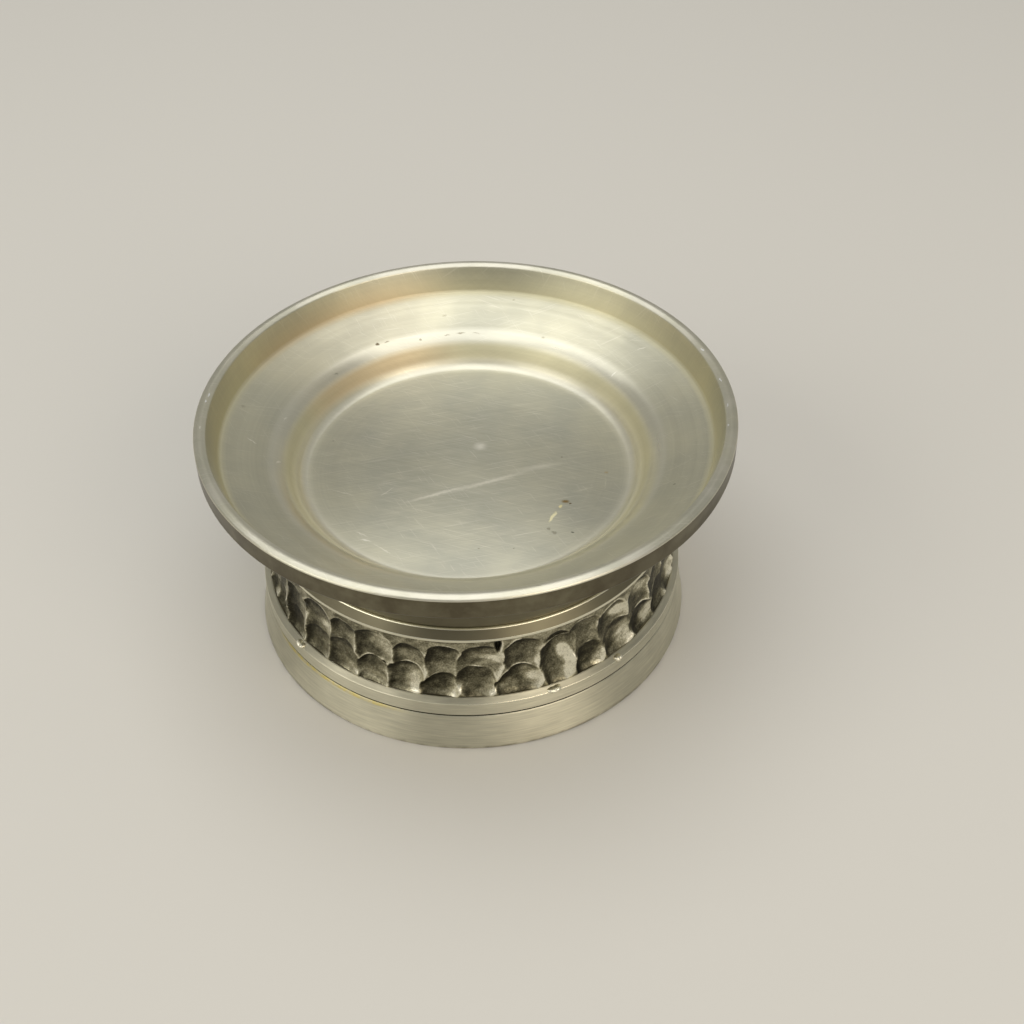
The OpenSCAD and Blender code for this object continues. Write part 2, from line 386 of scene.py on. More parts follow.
def pewter(name, light, dark, roughness, spacing, depth, contrast, anisotropic, drift=0.6, bands=1.0):
    """Pewter worked on a lathe: satin, with fine turned lines and clouds of tarnish."""
    material, tree, shader = new_material(name)
    at = lathe_places(tree)
    clouds = node(tree, "ShaderNodeTexNoise", {
        "Vector": at.point, "Scale": 1 / (CLOUD_SIZE * MM), "Detail": 3.0})
    cloudy = node(tree, "ShaderNodeMapRange", {0: clouds, 1: CLOUDS[0], 2: CLOUDS[1]})
    plain = node(tree, "ShaderNodeMix", {0: cloudy, 6: srgb(dark), 7: srgb(light)}, data_type="RGBA")
    lines = lathe_lines(tree, at, spacing, drift, 3.0)
    wide = lathe_lines(tree, at, spacing * WIDE_LINES, WIDE_DRIFT, 2.0)
    # On the floor of the dish the lines fade towards the middle
    shown = node(tree, "ShaderNodeMapRange", {
        0: at.radius, 1: LINES_FADE[0] * MM, 2: LINES_FADE[1] * MM, 3: LINES_LEFT, 4: 1.0})
    fine = node(tree, "ShaderNodeMapRange", {
        0: lines, 1: FINE_LINES[0], 2: FINE_LINES[1], 3: 1 - contrast, 4: 1 + contrast})
    lined = node(tree, "ShaderNodeMix", {0: shown, 6: plain.outputs[2], 7: fine},
                 data_type="RGBA", blend_type="MULTIPLY")
    colour = lined.outputs[2]
    uneven = node(tree, "ShaderNodeMapRange", {
        0: wide, 1: NOISE[0], 2: NOISE[1], 3: BAND_ROUGHNESS[0] * bands, 4: BAND_ROUGHNESS[1] * bands})
    patchy = node(tree, "ShaderNodeMapRange", {
        0: clouds, 1: NOISE[0], 2: NOISE[1],
        3: roughness + PATCH_ROUGHNESS, 4: roughness - PATCH_ROUGHNESS})
    rough = node(tree, "ShaderNodeMath", {0: uneven, 1: shown, 2: patchy}, operation="MULTIPLY_ADD")
    tree.links.new(rough.outputs[0], shader.inputs["Roughness"])
    bump = node(tree, "ShaderNodeBump", {"Height": lines, "Strength": shown, "Distance": depth * MM})
    tree.links.new(bump.outputs[0], shader.inputs["Normal"])
    shader.inputs["Anisotropic"].default_value = anisotropic
    shader.inputs["Anisotropic Rotation"].default_value = ALONG_THE_LINES
    tangent = node(tree, "ShaderNodeTangent", direction_type="RADIAL", axis="Z")
    tree.links.new(tangent.outputs[0], shader.inputs["Tangent"])
    tree.links.new(colour, shader.inputs["Base Color"])
    return material, tree, shader, colour, at


# Zones on the top of the dish, each as the radii in millimetres between which it comes in or ends
TARNISH = [(0, 0), (36.72, 0), (37.8, 0.5), (39.3, 0.5), (40.5, 0.1), (51.6, 0.1), (53.1, 0.55), (55.2, 0)]
TARNISH_END = 60
WALL_TO_LEDGE = (41.0, 44.0)
# The rubbed upper edge of the recess also carries a painted highlight, and the pale ring at the floor's
# corner is a painted highlight
RUBBED_EDGE_HIGHLIGHT = ((39.0, 40.8), (44.0, 42.0))
FLOOR_CORNER_HIGHLIGHT = ((33.5, 36.2), (38.9, 36.6))
DULL_MIDDLE = (10, 34)
WOOL_FADE = (24, 37)
LIP_START = (54.6, 55.2)
LIP_PATCH_SIZE = 7
# Roughness that tarnish adds on the recess wall and further out, and what rubbing changes
WALL_ROUGHNESS = 0.60
LEDGE_ROUGHNESS = 0.30
RUBBED_ROUGHNESS = -0.10
RING_ROUGHNESS = 0.06
# Strokes of steel wool as angle, length and width, and scratches with their rarity too
WOOL = ((-7, 15, 0.22), (21, 11, 0.26))
WOOL_TONE = (0.95, 1.045)
SCRATCHES = ((-12, 12, 0.24, 0.66), (24, 9, 0.24, 0.67), (62, 7, 0.22, 0.69))
RAGGED_SIZE = 0.9
RAGGED_SHIFT = 0.8


def ring_zone(tree, at, inner, outer):
    """A share of 1 in a ring on the dish, with soft edges between two pairs of radii in millimetres."""
    comes, ends = [node(tree, "ShaderNodeMapRange", {0: at.radius, 1: start * MM, 2: end * MM},
                        interpolation_type="SMOOTHSTEP") for start, end in (inner, outer)]
    return node(tree, "ShaderNodeMath", {0: comes, 1: ends}, operation="MULTIPLY")


def tarnish_by_radius(tree, at):
    """Tarnish sits on the recess wall and under the lip, where a cloth doesn't reach."""
    out = node(tree, "ShaderNodeMath", {0: at.radius, 1: 1 / (TARNISH_END * MM)}, operation="MULTIPLY")
    ramp = node(tree, "ShaderNodeValToRGB", {0: out})
    set_stops(ramp, [(radius / TARNISH_END, (share, share, share, 1)) for radius, share in TARNISH])
    return ramp


# Turned pewter on the top of the dish: satin from fine steel wool, warm grey with a straw tarnish
def dish_pewter(name, roughness, inner, outer):
    """The marks between the two radii are drawn."""
    material, tree, shader, colour, at = pewter(
        name, "#ccc9b4", "#b6b5a6", roughness, spacing=0.45, depth=0.005, contrast=0.04, anisotropic=0.6)
    tarnish = tarnish_by_radius(tree, at)
    even = shader.inputs["Roughness"].links[0].from_socket
    most = node(tree, "ShaderNodeMapRange", {
        0: at.radius, 1: WALL_TO_LEDGE[0] * MM, 2: WALL_TO_LEDGE[1] * MM,
        3: WALL_ROUGHNESS, 4: LEDGE_ROUGHNESS})
    rough = node(tree, "ShaderNodeMath", {0: tarnish, 1: most, 2: even}, operation="MULTIPLY_ADD")
    # The recess has a rubbed upper edge, painted lighter as a highlight, and its lower corner is painted
    # pale as a highlight
    rubbed_edge_highlight = ring_zone(tree, at, *RUBBED_EDGE_HIGHLIGHT)
    floor_corner_highlight = ring_zone(tree, at, *FLOOR_CORNER_HIGHLIGHT)
    for ring, change in ((rubbed_edge_highlight, RUBBED_ROUGHNESS), (floor_corner_highlight, RING_ROUGHNESS)):
        rough = node(tree, "ShaderNodeMath", {0: ring, 1: change, 2: rough}, operation="MULTIPLY_ADD")
    tree.links.new(rough.outputs[0], shader.inputs["Roughness"])
    edge_highlight_part = node(tree, "ShaderNodeMath", {0: rubbed_edge_highlight, 1: 0.3}, operation="MULTIPLY")
    floor_corner_highlight_part = node(tree, "ShaderNodeMath", {0: floor_corner_highlight, 1: 0.35}, operation="MULTIPLY")
    # A tan film lies on the walls at the back left
    film = facing(tree, at, azimuth=125, start=0.8, end=1.0, most=0.65)
    tan_part = node(tree, "ShaderNodeMath", {0: film, 1: tarnish}, operation="MULTIPLY")
    # The middle of the floor is duller than its edge
    middle = node(tree, "ShaderNodeMapRange", {
        0: at.radius, 1: DULL_MIDDLE[0] * MM, 2: DULL_MIDDLE[1] * MM, 3: 0.20, 4: 0.0,
    }, interpolation_type="SMOOTHSTEP")
    colour = laid_over(tree, colour, [(tarnish, "#d6cfa8"), (edge_highlight_part, "#f2efe0"), (floor_corner_highlight_part, "#faf6e4"),
                                      (tan_part, "#c99f74"), (middle, "#5c5a50")])
    # Strokes of steel wool across the floor
    wool_part = node(tree, "ShaderNodeMapRange", {
        0: at.radius, 1: WOOL_FADE[0] * MM, 2: WOOL_FADE[1] * MM, 3: 1.0, 4: 0.3})
    for angle, length, width in WOOL:
        stroke = node(tree, "ShaderNodeMapRange", {
            0: strokes(tree, at.point, angle, length, width),
            1: NOISE[0], 2: NOISE[1], 3: WOOL_TONE[0], 4: WOOL_TONE[1]})
        colour = node(tree, "ShaderNodeMix", {0: wool_part, 6: colour, 7: stroke},
                      data_type="RGBA", blend_type="MULTIPLY").outputs[2]
    # Scratches in three directions, fewer under the tarnish
    first, *others = [scratches(tree, at.point, *row) for row in SCRATCHES]
    for other in others:
        first = node(tree, "ShaderNodeMath", {0: first, 1: other}, operation="MAXIMUM")
    open_part = node(tree, "ShaderNodeMapRange", {0: tarnish, 1: 0.05, 2: 0.5, 3: 0.3, 4: 0.0})
    faint = node(tree, "ShaderNodeMath", {0: first, 1: open_part}, operation="MULTIPLY")
    # The lip is worn pale in patches
    on_lip = node(tree, "ShaderNodeMapRange", {0: at.radius, 1: LIP_START[0] * MM, 2: LIP_START[1] * MM})
    patches = node(tree, "ShaderNodeTexNoise", {
        "Vector": at.point, "Scale": 1 / (LIP_PATCH_SIZE * MM), "Detail": 4.0})
    pale = node(tree, "ShaderNodeMapRange", {0: patches, 1: 0.42, 2: 0.62, 3: 0.1, 4: 0.6})
    worn_lip = node(tree, "ShaderNodeMath", {0: on_lip, 1: pale}, operation="MULTIPLY")
    layers = [(faint, "#e8e4d6"), (worn_lip, "#d6d2c4")]
    # The marks have ragged outlines
    ragged = node(tree, "ShaderNodeTexNoise", {
        "Vector": at.point, "Scale": 1 / (RAGGED_SIZE * MM), "Detail": 2.0}).outputs["Color"]
    shift = node(tree, "ShaderNodeVectorMath", {0: ragged, 1: (0.5, 0.5, 0.5)}, operation="SUBTRACT")
    small = node(tree, "ShaderNodeVectorMath", {0: shift, 1: (RAGGED_SHIFT * MM, RAGGED_SHIFT * MM, 0)},
                 operation="MULTIPLY")
    place = node(tree, "ShaderNodeVectorMath", {0: at.flat, 1: small}, operation="ADD")
    for x, y, half_length, half_width, turn, softness, strength, code in MARKS:
        if inner <= math.hypot(x, y) < outer:
            mask = spot(tree, place, x, y, half_length, half_width, turn, softness)
            part = node(tree, "ShaderNodeMath", {0: mask, 1: strength}, operation="MULTIPLY")
            layers.append((part, code))
    tree.links.new(laid_over(tree, colour, layers), shader.inputs["Base Color"])
    return material, tree, shader, at


# The same pewter where it is handled less, duller and darker under the rim and on the neck: its darkness is
# partly tarnish and partly painted shade
RIM_TARNISH = (43.5, 47.0)
RIM_TARNISH_SIZE = 6


def dull_shaded_pewter():
    material, tree, shader, colour, at = pewter(
        "turned_pewter_dull_shaded", "#7d7863", "#686352", 0.37, spacing=0.5, depth=0.006, contrast=0.05,
        anisotropic=0.5)
    # Brown tarnish in clouds on the rim's outside
    high = node(tree, "ShaderNodeMapRange", {0: at.height, 1: RIM_TARNISH[0] * MM, 2: RIM_TARNISH[1] * MM})
    clouds = node(tree, "ShaderNodeTexNoise", {
        "Vector": at.point, "Scale": 1 / (RIM_TARNISH_SIZE * MM), "Detail": 5.0, "Roughness": 0.6})
    brown = node(tree, "ShaderNodeMapRange", {0: clouds, 1: 0.38, 2: 0.62, 3: 0.25, 4: 0.85})
    tarnished = node(tree, "ShaderNodeMath", {0: high, 1: brown}, operation="MULTIPLY")
    tree.links.new(laid_over(tree, colour, [(tarnished, "#575040")]), shader.inputs["Base Color"])
    return material


# Brushed pewter on the foot and the band: lines all round from the last cut of the lathe
POLISH_Z = JOINT_Z - 0.4
POLISH_HALF = 0.55
POLISH_CRUMB = 1.4
LOW_DARKENING_Z = (0.3, 1.2)
LOW_PATCH_SIZE = 3.5


def brushed_pewter():
    material, tree, shader, colour, at = pewter(
        "brushed_pewter", "#d6d2bd", "#c1bda9", 0.48, spacing=0.28, depth=0.012, contrast=0.13,
        anisotropic=0.9, drift=7.0, bands=0.5)
    # Yellow polish is left under the groove at the front left
    near = node(tree, "ShaderNodeMath", {0: at.height, 1: POLISH_Z * MM, 2: POLISH_HALF * MM},
                operation="COMPARE")
    side = facing(tree, at, azimuth=-132, start=0.90, end=0.98, most=1.0)
    crumbs = node(tree, "ShaderNodeTexNoise", {
        "Vector": at.point, "Scale": 1 / (POLISH_CRUMB * MM), "Detail": 3.0})
    loose = node(tree, "ShaderNodeMapRange", {0: crumbs, 1: 0.40, 2: 0.60, 3: 0.3, 4: 0.8})
    there = node(tree, "ShaderNodeMath", {0: near, 1: side}, operation="MULTIPLY")
    polish = node(tree, "ShaderNodeMath", {0: there, 1: loose}, operation="MULTIPLY")
    # Darker in patches along the foot's lower edge
    low = node(tree, "ShaderNodeMapRange", {
        0: at.height, 1: LOW_DARKENING_Z[0] * MM, 2: LOW_DARKENING_Z[1] * MM, 3: 0.8, 4: 0.0})
    low_patches = node(tree, "ShaderNodeTexNoise", {
        "Vector": at.point, "Scale": 1 / (LOW_PATCH_SIZE * MM), "Detail": 4.0})
    low_patchy = node(tree, "ShaderNodeMapRange", {0: low_patches, 1: 0.40, 2: 0.60})
    low_darkening = node(tree, "ShaderNodeMath", {0: low, 1: low_patchy}, operation="MULTIPLY")
    colour = laid_over(tree, colour, [(polish, "#d8c878"), (low_darkening, "#6b6450")])
    tree.links.new(colour, shader.inputs["Base Color"])
    return material


# Cast pewter of the frieze: dark patina in the scoops and rubbed bright on the ridges, with painted shade
# under the arches and painted highlights on the lower ends and low in the scoops
PATINA = [(0.0, "#2b2920"), (0.25, "#4b483a"), (0.5, "#77735f"), (0.75, "#b0ab93"), (1.0, "#f0ecd8")]
MOTTLE_SIZE = 1.0
MOTTLE_TONE = 0.11
SAND_SIZE = 0.32
SAND_TONE = 0.12
SAND_DEPTH = 0.05


def cast_pewter():
    material, tree, shader = new_material("cast_pewter_patinated")
    point = node(tree, "ShaderNodeTexCoord").outputs["Object"]
    wear_and_shade = node(tree, "ShaderNodeAttribute", attribute_name="wear_and_shade").outputs["Fac"]
    mottle = node(tree, "ShaderNodeTexNoise", {
        "Vector": point, "Scale": 1 / (MOTTLE_SIZE * MM), "Detail": 6.0, "Roughness": 0.72})
    mottled = node(tree, "ShaderNodeMapRange", {
        0: mottle, 1: NOISE[0], 2: NOISE[1], 3: -MOTTLE_TONE, 4: MOTTLE_TONE})
    clouded = node(tree, "ShaderNodeMath", {0: wear_and_shade, 1: mottled}, operation="ADD")
    # Sand grain of the mould, with the patina caught in it
    grain = node(tree, "ShaderNodeTexNoise", {
        "Vector": point, "Scale": 1 / (SAND_SIZE * MM), "Detail": 2.0})
    specks = node(tree, "ShaderNodeMapRange", {
        0: grain, 1: NOISE[0], 2: NOISE[1], 3: -SAND_TONE, 4: SAND_TONE})
    tone = node(tree, "ShaderNodeMath", {0: clouded, 1: specks}, operation="ADD")
    ramp = node(tree, "ShaderNodeValToRGB", {0: tone})
    set_stops(ramp, [(place, srgb(code)) for place, code in PATINA])
    tree.links.new(ramp.outputs[0], shader.inputs["Base Color"])
    rough = node(tree, "ShaderNodeMapRange", {0: tone, 1: 0.0, 2: 1.0, 3: 0.52, 4: 0.33})
    tree.links.new(rough.outputs[0], shader.inputs["Roughness"])
    bump = node(tree, "ShaderNodeBump", {"Height": grain, "Strength": 1.0, "Distance": SAND_DEPTH * MM})
    tree.links.new(bump.outputs[0], shader.inputs["Normal"])
    return material


# Tin solder: smooth and brighter than the pewter, dulled by flux
FLOW_SIZE = 3
FLOW_DEPTH = 0.15


def tin_solder():
    material, tree, shader = new_material("tin_solder")
    point = node(tree, "ShaderNodeTexCoord").outputs["Object"]
    flow = node(tree, "ShaderNodeTexNoise", {"Vector": point, "Scale": 1 / (FLOW_SIZE * MM), "Detail": 2.0})
    mixed = node(tree, "ShaderNodeMix", {0: flow, 6: srgb("#9a968a"), 7: srgb("#c4c0b4")}, data_type="RGBA")
    tree.links.new(mixed.outputs[2], shader.inputs["Base Color"])
    rough = node(tree, "ShaderNodeMapRange", {0: flow, 1: NOISE[0], 2: NOISE[1], 3: 0.28, 4: 0.45})
    tree.links.new(rough.outputs[0], shader.inputs["Roughness"])
    bump = node(tree, "ShaderNodeBump", {"Height": flow, "Strength": 1.0, "Distance": FLOW_DEPTH * MM})
    tree.links.new(bump.outputs[0], shader.inputs["Normal"])
    return material


satin = dish_pewter("turned_pewter_satin", 0.35, FLOOR_R, RIM_R)[0]
rubbed_floor, floor_tree, floor_shader, floor_place = dish_pewter("turned_pewter_floor", 0.37, 0, FLOOR_R)
# The floor's sheen is drawn out by the lathe near its edge and even in the middle
SHEEN_DRAWN = (8, 30)
drawn = node(floor_tree, "ShaderNodeMapRange", {
    0: floor_place.radius, 1: SHEEN_DRAWN[0] * MM, 2: SHEEN_DRAWN[1] * MM, 3: 0.1, 4: 0.7})
floor_tree.links.new(drawn.outputs[0], floor_shader.inputs["Anisotropic"])
dull_shaded = dull_shaded_pewter()
brushed = brushed_pewter()
# Edges of the drum that hands have rubbed smooth, painted lighter as a highlight line
edge = pewter("rubbed_pewter_edge_highlight", "#e2dec8", "#cdc9b4", 0.27, spacing=0.5, depth=0.004, contrast=0.05,
              anisotropic=0.2)[0]
cast = cast_pewter()
solder = tin_solder()

# Dish: recess, ledge and crowned rim, turned in one
DISH = [
    (HUB_R, FLOOR_Z, 0),
    (FLOOR_R, FLOOR_Z, 2.4),
    (RECESS_R, RECESS_EDGE_Z, 9.0),
    (LEDGE_R, LEDGE_Z, 1.0),
    (LIP_IN_R, LIP_Z - LIP_CROWN, 0.45),
    ((LIP_IN_R + RIM_R) / 2, LIP_Z, 1.3),
    (RIM_R, LIP_Z - LIP_CROWN, 0.5),
    (RIM_R, RIM_BOTTOM_Z, 0.7),
    (FLARE_R, FLARE_Z, 0.7),
    (SEAT_R, SEAT_TOP_Z, 0),
    (SEAT_R, SEAT_Z, 0),
    (DISH_SPIGOT_R, SEAT_Z, 0),
    (DISH_SPIGOT_R, SPIGOT_END_Z, 0),
    (SPIGOT_END_R, SPIGOT_END_Z, 0),
    (FLOOR_UNDER_R, FLOOR_UNDER_Z, 0.2),
    (HUB_R, FLOOR_UNDER_Z, 0),
]
# How far a face looks up on the flat floor and on all that is seen from above
LEVEL = 0.99
RISING = 0.02
INSIDE_THE_LIP_R = 55.2


def dish_finish(face):
    """A rubbed floor, satin above and under the flare, and the dull pewter with painted shade on the rim's
    outside and underneath.
    """
    if face.radius < FLOOR_R and face.height > FLOOR_Z - NEAR and face.upward > LEVEL:
        return 2
    within_lip = face.radius < INSIDE_THE_LIP_R and face.height > FLOOR_Z - NEAR
    return 0 if face.upward > RISING or within_lip else 1


dish = turned("dish_turned", DISH, DISH_SEGMENTS, hub=True)
smooth(dish, TURNED_ANGLE)
finish_faces(dish, [satin, dull_shaded, rubbed_floor], dish_finish)
mount(dish, "turned_pewter", "dish")

# Drum: neck, shoulder and band, with a seat for the carved frieze
DRUM = [
    (NECK_BORE_R, SEAT_Z, 0),
    (NECK_R, SEAT_Z, 0),
    (NECK_R, SHOULDER_Z, 0),
    (SHOULDER_R, SHOULDER_Z, 0.6),
    (UPPER_ROW_R, FRIEZE_EDGE_Z, 0.8),
    (UPPER_ROW_R, FRIEZE_TOP_Z, 0),
    (FRIEZE_SEAT_R, FRIEZE_TOP_Z, 0),
    (FRIEZE_SEAT_R, FRIEZE_BOTTOM_Z, 0),
    (CLEAN_LEDGE_R, FRIEZE_BOTTOM_Z, 0),
    (LOWER_ROW_R, FRIEZE_BOTTOM_Z, 0),
    (CHAMFER_R, CHAMFER_Z, 0),
    (BAND_R, BAND_TOP_Z, 0.2),
    (BAND_R, JOINT_Z + GROOVE, 0.1),
    (BAND_R - GROOVE, JOINT_Z, 0),
    (LOW_BORE_R, JOINT_Z, 0),
    (LOW_BORE_R, LOW_BORE_TOP_Z, 0),
    (NECK_BORE_R, SHOULDER_Z, 0),
]
# Where hands have rubbed the shoulder, the edge over the frieze and the top of the band, which also carry
# painted highlight lines
SHOULDER_RUBBED_HIGHLIGHT = 0.35
SHOULDER_RUBBED_HIGHLIGHT_R = 43.55
FRIEZE_RUBBED_HIGHLIGHT = 0.22
FRIEZE_RUBBED_HIGHLIGHT_R = 45.1
BAND_RUBBED_HIGHLIGHT = 0.1


def drum_finish(face):
    """Dull pewter with painted shade above and inside, brushed from the ledge down, bright on rubbed edges
    with painted highlights, dark in the groove.
    """
    if face.radius > FRIEZE_BACK_R and JOINT_Z < face.height < JOINT_Z + GROOVE:
        return 2
    on_shoulder = SHOULDER_Z - SHOULDER_RUBBED_HIGHLIGHT < face.height < SHOULDER_Z + NEAR
    over_frieze = FRIEZE_TOP_Z < face.height < FRIEZE_EDGE_Z + FRIEZE_RUBBED_HIGHLIGHT
    on_band = BAND_TOP_Z - BAND_RUBBED_HIGHLIGHT < face.height < BAND_TOP_Z + BAND_RUBBED_HIGHLIGHT
    if (on_shoulder and face.radius > SHOULDER_RUBBED_HIGHLIGHT_R or over_frieze and face.radius > FRIEZE_RUBBED_HIGHLIGHT_R
            or on_band and face.radius > CHAMFER_R):
        return 3
    return 1 if face.height < FRIEZE_BOTTOM_Z + NEAR and face.radius > CLEAN_LEDGE_R else 0


drum = turned("drum_wall", DRUM, RING_SEGMENTS)
smooth(drum, TURNED_ANGLE)
finish_faces(drum, [dull_shaded, brushed, cast, edge], drum_finish)
mount(drum, "cast_pewter", "frieze_ring")

# Foot ring with its spigot
FOOT = [
    (FOOT_BORE_R, 0, 0.2),
    (FOOT_R, 0, 0.7),
    (BAND_R, JOINT_Z - GROOVE, 0.1),
    (BAND_R - GROOVE / 2, JOINT_Z - GROOVE / 2, 0),
    (BAND_R - GROOVE, JOINT_Z, 0),
    (FOOT_SPIGOT_R, JOINT_Z, 0),
    (FOOT_SPIGOT_R, FOOT_SPIGOT_Z, 0),
    (FOOT_SPIGOT_IN_R, FOOT_SPIGOT_Z, 0),
    (FOOT_SPIGOT_IN_R, FOOT_WEB_Z, 0),
    (FOOT_BORE_R, FOOT_WEB_Z, 0),
]
# Radii that part the groove's floor and the inside from the foot's outer face
FOOT_GROOVE_R = 47
FOOT_INSIDE_R = 45


def foot_finish(face):
    """Brushed outside, dull pewter with painted shade inside, and dark in the groove."""
    if face.radius > FOOT_GROOVE_R and face.height > JOINT_Z - GROOVE / 2:
        return 2
    return 1 if face.radius < FOOT_INSIDE_R else 0


foot = turned("foot_turned", FOOT, RING_SEGMENTS)
smooth(foot, TURNED_ANGLE)
finish_faces(foot, [brushed, dull_shaded, cast], foot_finish)
mount(foot, "turned_pewter", "foot_ring")

# Frieze: two rows of scoops pressed by thumb, cast with the drum
FRIEZE_COLUMNS = 1560
FRIEZE_ROWS = 109
FRIEZE_MEAN_R = 46
ARC_MM = math.radians(1) * FRIEZE_MEAN_R
ROW_SCOOPS = 37
# Azimuth and width in degrees and top in millimetres of the front scoops
UPPER_SCOOPS = [
    (-146.4, 10.4, 27.6), (-136.6, 11.4, 28.9), (-127.2, 9.8, 28.2), (-117.6, 12.2, 28.9),
    (-107.6, 9.8, 27.4), (-98.6, 10.2, 28.1), (-89.0, 12.4, 28.2), (-77.6, 11.4, 28.7),
    (-60.0, 10.6, 28.8), (-50.2, 11.4, 28.3), (-39.8, 11.0, 29.0), (-29.6, 11.0, 28.6),
]
LOWER_SCOOPS = [
    (-147.2, 10.8, 20.6), (-137.6, 10.2, 20.4), (-127.6, 11.2, 21.3), (-118.2, 10.0, 20.6),
    (-108.9, 11.0, 21.7), (-99.6, 10.4, 20.2), (-90.0, 11.0, 21.8), (-79.4, 13.0, 20.7),
    (-58.4, 10.0, 20.4), (-48.0, 12.0, 21.9), (-37.0, 11.8, 20.7), (-27.0, 11.0, 21.0),
]
TALL_SCOOP = (-67.8, 10.4, 27.2)
# Reach below the arch, mean top and span of depths of each row and of the tall scoop
UPPER_ROW = (8.2, 28.5, (1.1, 1.5))
LOWER_ROW = (5.1, 21.2, (1.3, 1.7))
TALL_REACH = 12.0
TALL_DEPTHS = (1.7, 1.9)
# How much painted highlight the front scoops get, the spans of those round the back, and what differs from
# scoop to scoop
FRONT_HIGHLIGHT = 0.05
BACK_SHIFTS = (-0.9, 0.9)
BACK_WIDTHS = (9.8, 12.2)
BACK_TOPS = (-0.9, 0.5)
BACK_HIGHLIGHTS = (0, 0.6)
DEEP_ACROSS = (-0.45, -0.15)
DEEP_UP = (0.1, 0.45)
LEANS = (-0.12, 0.14)
LIFTS = (0.0, 0.12)
# Rubbed places and painted highlights, or patina and painted shade below 0: azimuth, height, half width in
# degrees, half height, turn, strength
RUBBED_AND_PAINTED_LIGHT = [
    (-141.1, 20.7, 1.3, 1.8, 0, 0.30), (-133.5, 22.4, 3.0, 1.2, 0, 0.45), (-115.8, 25.4, 3.2, 2.6, 0, 0.30),
    (-116.2, 19.8, 1.2, 0.8, 0, 0.50), (-118.7, 14.9, 3.3, 0.9, 0, 0.30), (-107.3, 16.9, 2.0, 2.3, 0, 0.45),
    (-87.5, 24.1, 3.2, 0.7, -10, 0.45), (-84.5, 23.6, 1.2, 1.2, 0, 0.35),
    (-75.7, 17.3, 2.8, 1.6, -15, 0.50),
    (-73.6, 20.3, 0.9, 2.0, 10, 0.40), (-82.0, 15.6, 3.0, 1.4, 0, 0.30), (-66.4, 20.9, 1.5, 2.0, 25, 0.90),
    (-64.6, 18.8, 1.1, 2.4, 10, 1.10), (-64.7, 15.8, 1.2, 2.6, -5, 1.10), (-58.0, 25.8, 2.0, 1.5, 0, 0.20),
    (-47.8, 24.5, 2.9, 1.3, 0, 1.00), (-46.6, 16.9, 3.2, 2.3, 0, 0.60), (-38.6, 25.5, 2.8, 1.4, 0, 0.45),
    (-34.8, 16.2, 3.0, 2.0, 20, 0.80), (-28.0, 21.0, 9.0, 9.0, 0, -0.35),
    (-152.0, 20.0, 7.0, 9.0, 0, -0.28),
    (-108.0, 26.2, 3.4, 1.3, 0, -0.45), (-98.3, 26.4, 3.0, 1.5, 0, -0.35),
    (-136.4, 27.2, 3.8, 1.5, -10, -0.35), (-125.4, 26.4, 2.0, 1.8, 0, -0.35),
    (-117.8, 27.8, 4.4, 0.7, 0, -0.45), (-70.6, 24.0, 1.3, 3.0, -10, -0.35),
    (-59.0, 17.4, 3.6, 3.0, 0, -0.32), (-40.2, 28.0, 4.2, 0.8, 0, -0.45), (-40.8, 17.6, 2.3, 3.0, 0, -0.35),
    (-99.4, 17.4, 4.2, 2.6, 0, -0.14), (-89.0, 27.3, 3.8, 0.6, 0, -0.30), (-77.8, 27.6, 4.2, 0.6, 0, -0.25),
    (-48.5, 20.9, 3.6, 0.7, 0, -0.35), (-36.8, 19.8, 3.4, 0.7, 0, -0.35), (-53.6, 25.6, 1.0, 2.0, 0, -0.35),
]
RUBBED_AND_PAINTED_LIGHT_FALL = 0.7
# Casting pits: azimuth, height, half width in degrees, half height, widening, bend and depth
PITS = [
    (-84.3, 27.3, 0.7, 1.7, 0.45, 0, 1.3), (-68.4, 27.4, 2.8, 0.62, 0, 0.085, 0.28),
    (-115.2, 19.6, 0.5, 0.4, 0.4, 0.3, 0.25), (20.0, 27.5, 0.9, 1.2, 0.4, 0, 0.9),
    (96.0, 22.3, 0.9, 0.5, 0.4, 0.2, 0.4), (158.0, 27.8, 1.4, 0.7, 0, 0.1, 0.8),
]
# How much the pits darken the tone: patina, and painted shade in place of a deeper hollow's shadow
PIT_PATINA_AND_SHADE = 1.5
# Outline of a scoop: its unevenness across and up, and the columns between where each is read
UNEVEN_ACROSS = 0.06
UNEVEN_UP = 0.05
UNEVEN_OFFSET = 300
# Powers of the bowl and of its wall
BOWL_POWER = 2.2
WALL_POWER = 7
# The painted highlight low on the right of a scoop: its middle and its spread, as shares of the outline
HIGHLIGHT_U = 0.42
HIGHLIGHT_V = -0.28
HIGHLIGHT_SPREAD_U = 0.13
HIGHLIGHT_SPREAD_V = 0.22
# The thin raised edge on an arch, broken here and there and thicker on the left
EDGE_WIDTH = 0.15
EDGE_HEIGHT = 0.15
EDGE_POLISH = 2.5
EDGE_BROKEN = (0.35, 1.1)
EDGE_BY_SIDE = (1.4, 1.2)
EDGE_LEAST = 0.25
EDGE_BELOW = 0.15
# Unevenness as passes of smoothing and size: of the outlines, of the face in millimetres and of the tone
OUTLINE_PASSES = 110
FACE_UNEVEN = ((24, 0.03), (4, 0.006))
TONE_UNEVEN = ((60, 0.06), (9, 0.03))
# What the tone from 0, patina, to 1, bare metal, takes from the form; the share from the slope is painted
# shading and highlight
PLAIN_TONE = 0.47
PAINTED_SHADING_TONE = 0.65
RELIEF_PASSES = 9
RELIEF_TONE = 1.3
DEEPEST = 2.5
DEPTH_TONE = 0.09
POLISH_AND_HIGHLIGHT_TONE = 0.8
CORNER_SHADE_TONE = 0.14
CORNER_SHADE_HEIGHT = 0.7
FACE_TONE = 0.04
FACE_FALL = 6
DARKEST_TONE = 0.06
